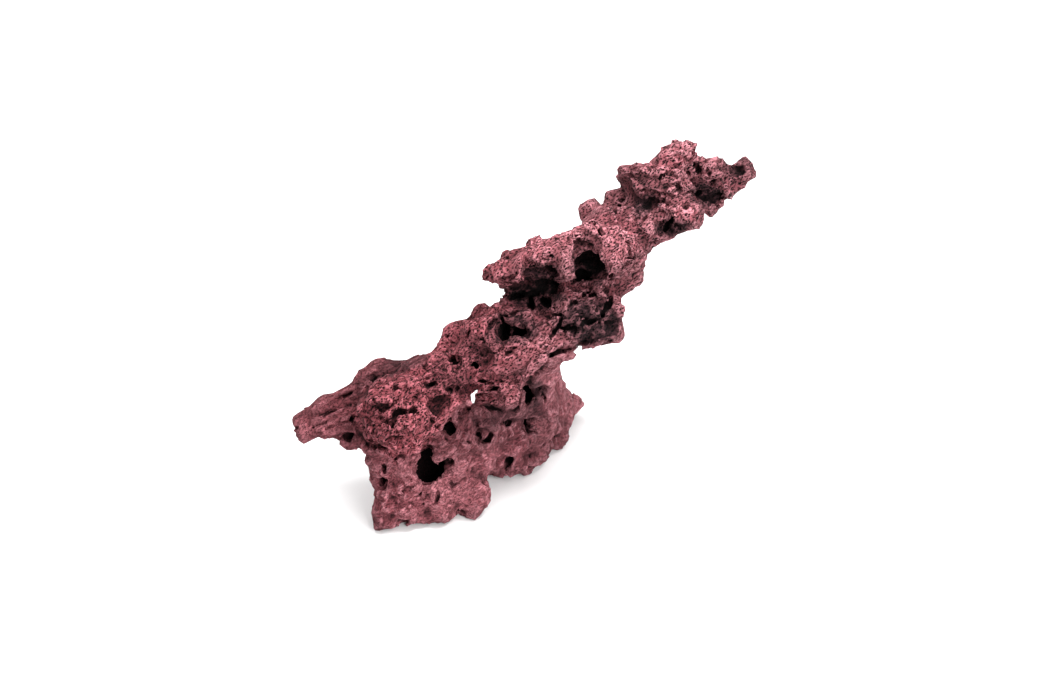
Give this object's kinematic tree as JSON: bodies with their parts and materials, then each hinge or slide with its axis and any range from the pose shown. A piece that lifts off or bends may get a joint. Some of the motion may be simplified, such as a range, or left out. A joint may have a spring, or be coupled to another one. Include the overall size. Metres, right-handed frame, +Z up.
{
  "type": "dry reef rock",
  "caption": "Leaning arm of pitted pink reef rock on a perforated foot wall, for reef tanks and aquascapes.",
  "frame": {"origin": "on the floor, under the middle of the rock's box", "axes": "+Z up as the rock stands, +X from the tail to the high tip, +Y away from the side that the foot's toe and the arm's broad face are on"},
  "size_m": [0.3865, 0.1902, 0.2919],
  "materials": {
    "rock": "matt, porous and dusty"
  },
  "bodies": {
    "root": {"rock": "rock"}
  },
  "joints": []
}
